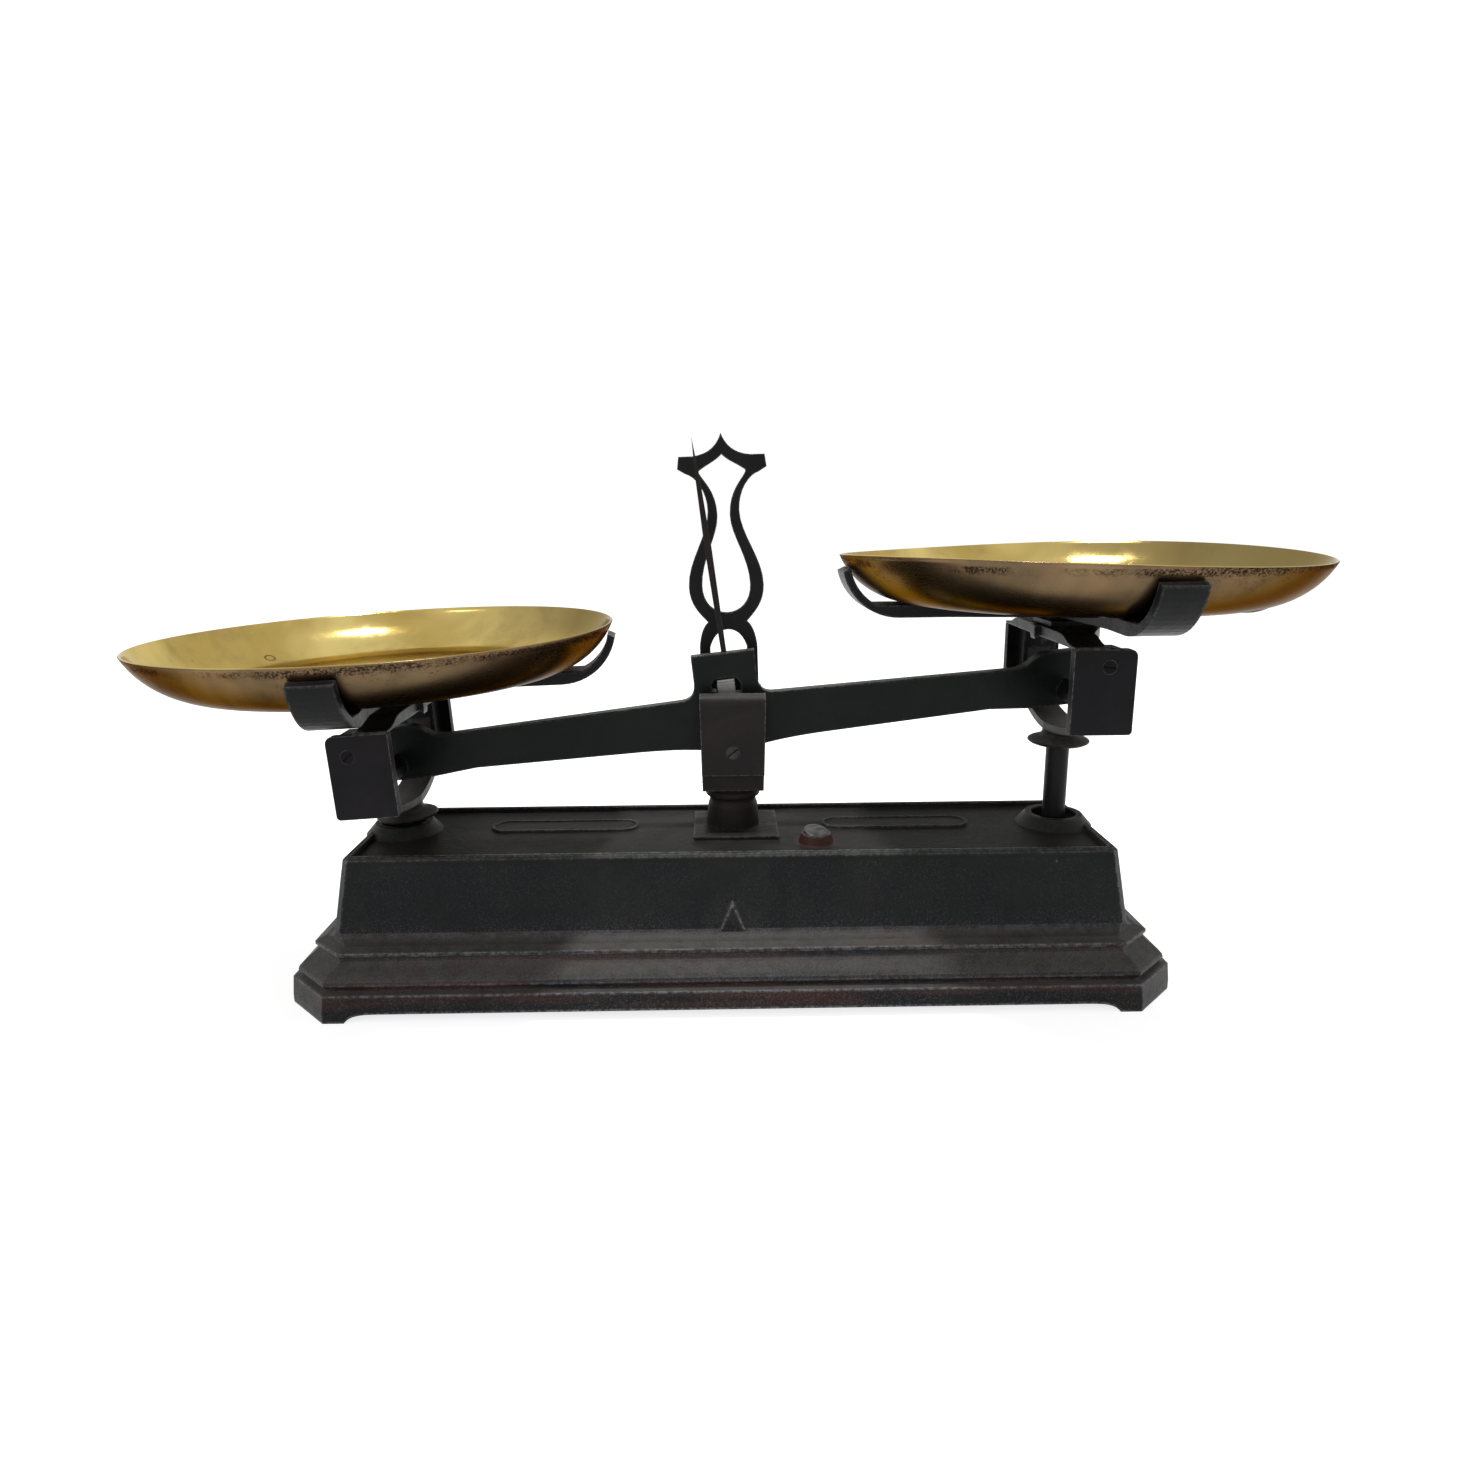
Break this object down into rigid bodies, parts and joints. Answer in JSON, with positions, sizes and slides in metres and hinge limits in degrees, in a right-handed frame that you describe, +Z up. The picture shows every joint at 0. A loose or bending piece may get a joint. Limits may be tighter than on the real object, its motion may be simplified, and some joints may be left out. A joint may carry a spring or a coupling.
{
  "type": "counter balance scale",
  "caption": "Equal-arm counter balance: a knife-edge beam on a cast iron base carries brass pans on upright carriers, with a pointer in a lyre-shaped frame.",
  "frame": {"origin": "on the table, under the middle of the column, whose middle line lies 8.8 mm behind the base's", "axes": "+Z up, +X along the beam to the higher right pan, -Y to the front with the cover and the lug"},
  "size_m": [0.5954, 0.2397, 0.2782],
  "materials": {
    "weathered_cast_iron": "black japanned cast iron, worn and dusty, rust brown in the mouldings",
    "dark_forged_iron": "black painted forged iron, slightly glossy, dusty on top",
    "black_steel": "black painted steel sheet with worn edges",
    "worn_steel": "grey worn bare steel",
    "lead": "dull dented lead with rust stains on its side",
    "brass": "polished aged brass with tarnish under the rim"
  },
  "bodies": {
    "base": {"base_casting": "weathered_cast_iron", "seal_plug": "lead", "column": "weathered_cast_iron", "column_stud": "worn_steel", "column_washer": "worn_steel", "column_nut": "worn_steel", "column_bearings": "worn_steel", "front_cover": "black_steel", "cover_screws": "worn_steel", "index_frame": "black_steel", "stay_bracket": "black_steel", "stay_pivot_pin": "worn_steel"},
    "beam": {"beam": "dark_forged_iron", "centre_knife": "worn_steel", "left_end_knife": "worn_steel", "right_end_knife": "worn_steel", "pointer": "black_steel"},
    "left_carrier": {"left_stirrup": "dark_forged_iron", "left_stem": "black_steel", "left_front_plate": "black_steel", "left_rear_plate": "black_steel", "left_bridge": "dark_forged_iron", "left_bearings": "worn_steel", "left_plate_screws": "worn_steel", "left_cross": "dark_forged_iron", "left_cross_screws": "worn_steel"},
    "right_carrier": {"right_stirrup": "dark_forged_iron", "right_stem": "black_steel", "right_front_plate": "black_steel", "right_rear_plate": "black_steel", "right_bridge": "dark_forged_iron", "right_bearings": "worn_steel", "right_plate_screws": "worn_steel", "right_cross": "dark_forged_iron", "right_cross_screws": "worn_steel"},
    "stay": {"stay_lever": "black_steel", "stay_end_pins": "worn_steel"},
    "left_pan": {"left_pan": "brass"},
    "right_pan": {"right_pan": "brass"}
  },
  "joints": [
    {"name": "beam_tilt", "type": "hinge", "parent": "base", "child": "beam", "pos_m": [0, 0, 0.133], "axis": [0, 1, 0], "range_deg": [0, 12]},
    {"name": "left_carrier_swing", "type": "hinge", "parent": "beam", "child": "left_carrier", "pos_m": [-0.17663, 0, 0.11444], "axis": [0, 1, 0], "range_deg": [-12, 0]},
    {"name": "right_carrier_swing", "type": "hinge", "parent": "beam", "child": "right_carrier", "pos_m": [0.17663, 0, 0.15156], "axis": [0, 1, 0], "range_deg": [-12, 0]},
    {"name": "stay_tilt", "type": "hinge", "parent": "base", "child": "stay", "pos_m": [0, 0, 0.032], "axis": [0, 1, 0], "range_deg": [0, 12]},
    {"name": "left_pan_lift", "type": "slide", "parent": "left_carrier", "child": "left_pan", "axis": [-0.0314, 0, 0.9995], "range_m": [0, 0.06]},
    {"name": "right_pan_lift", "type": "slide", "parent": "right_carrier", "child": "right_pan", "axis": [0, 0, 1], "range_m": [0, 0.06]}
  ],
  "couplings": [
    {"joint": "left_carrier_swing", "follows": "beam_tilt", "ratio": -1},
    {"joint": "right_carrier_swing", "follows": "beam_tilt", "ratio": -1},
    {"joint": "stay_tilt", "follows": "beam_tilt", "ratio": 1}
  ]
}
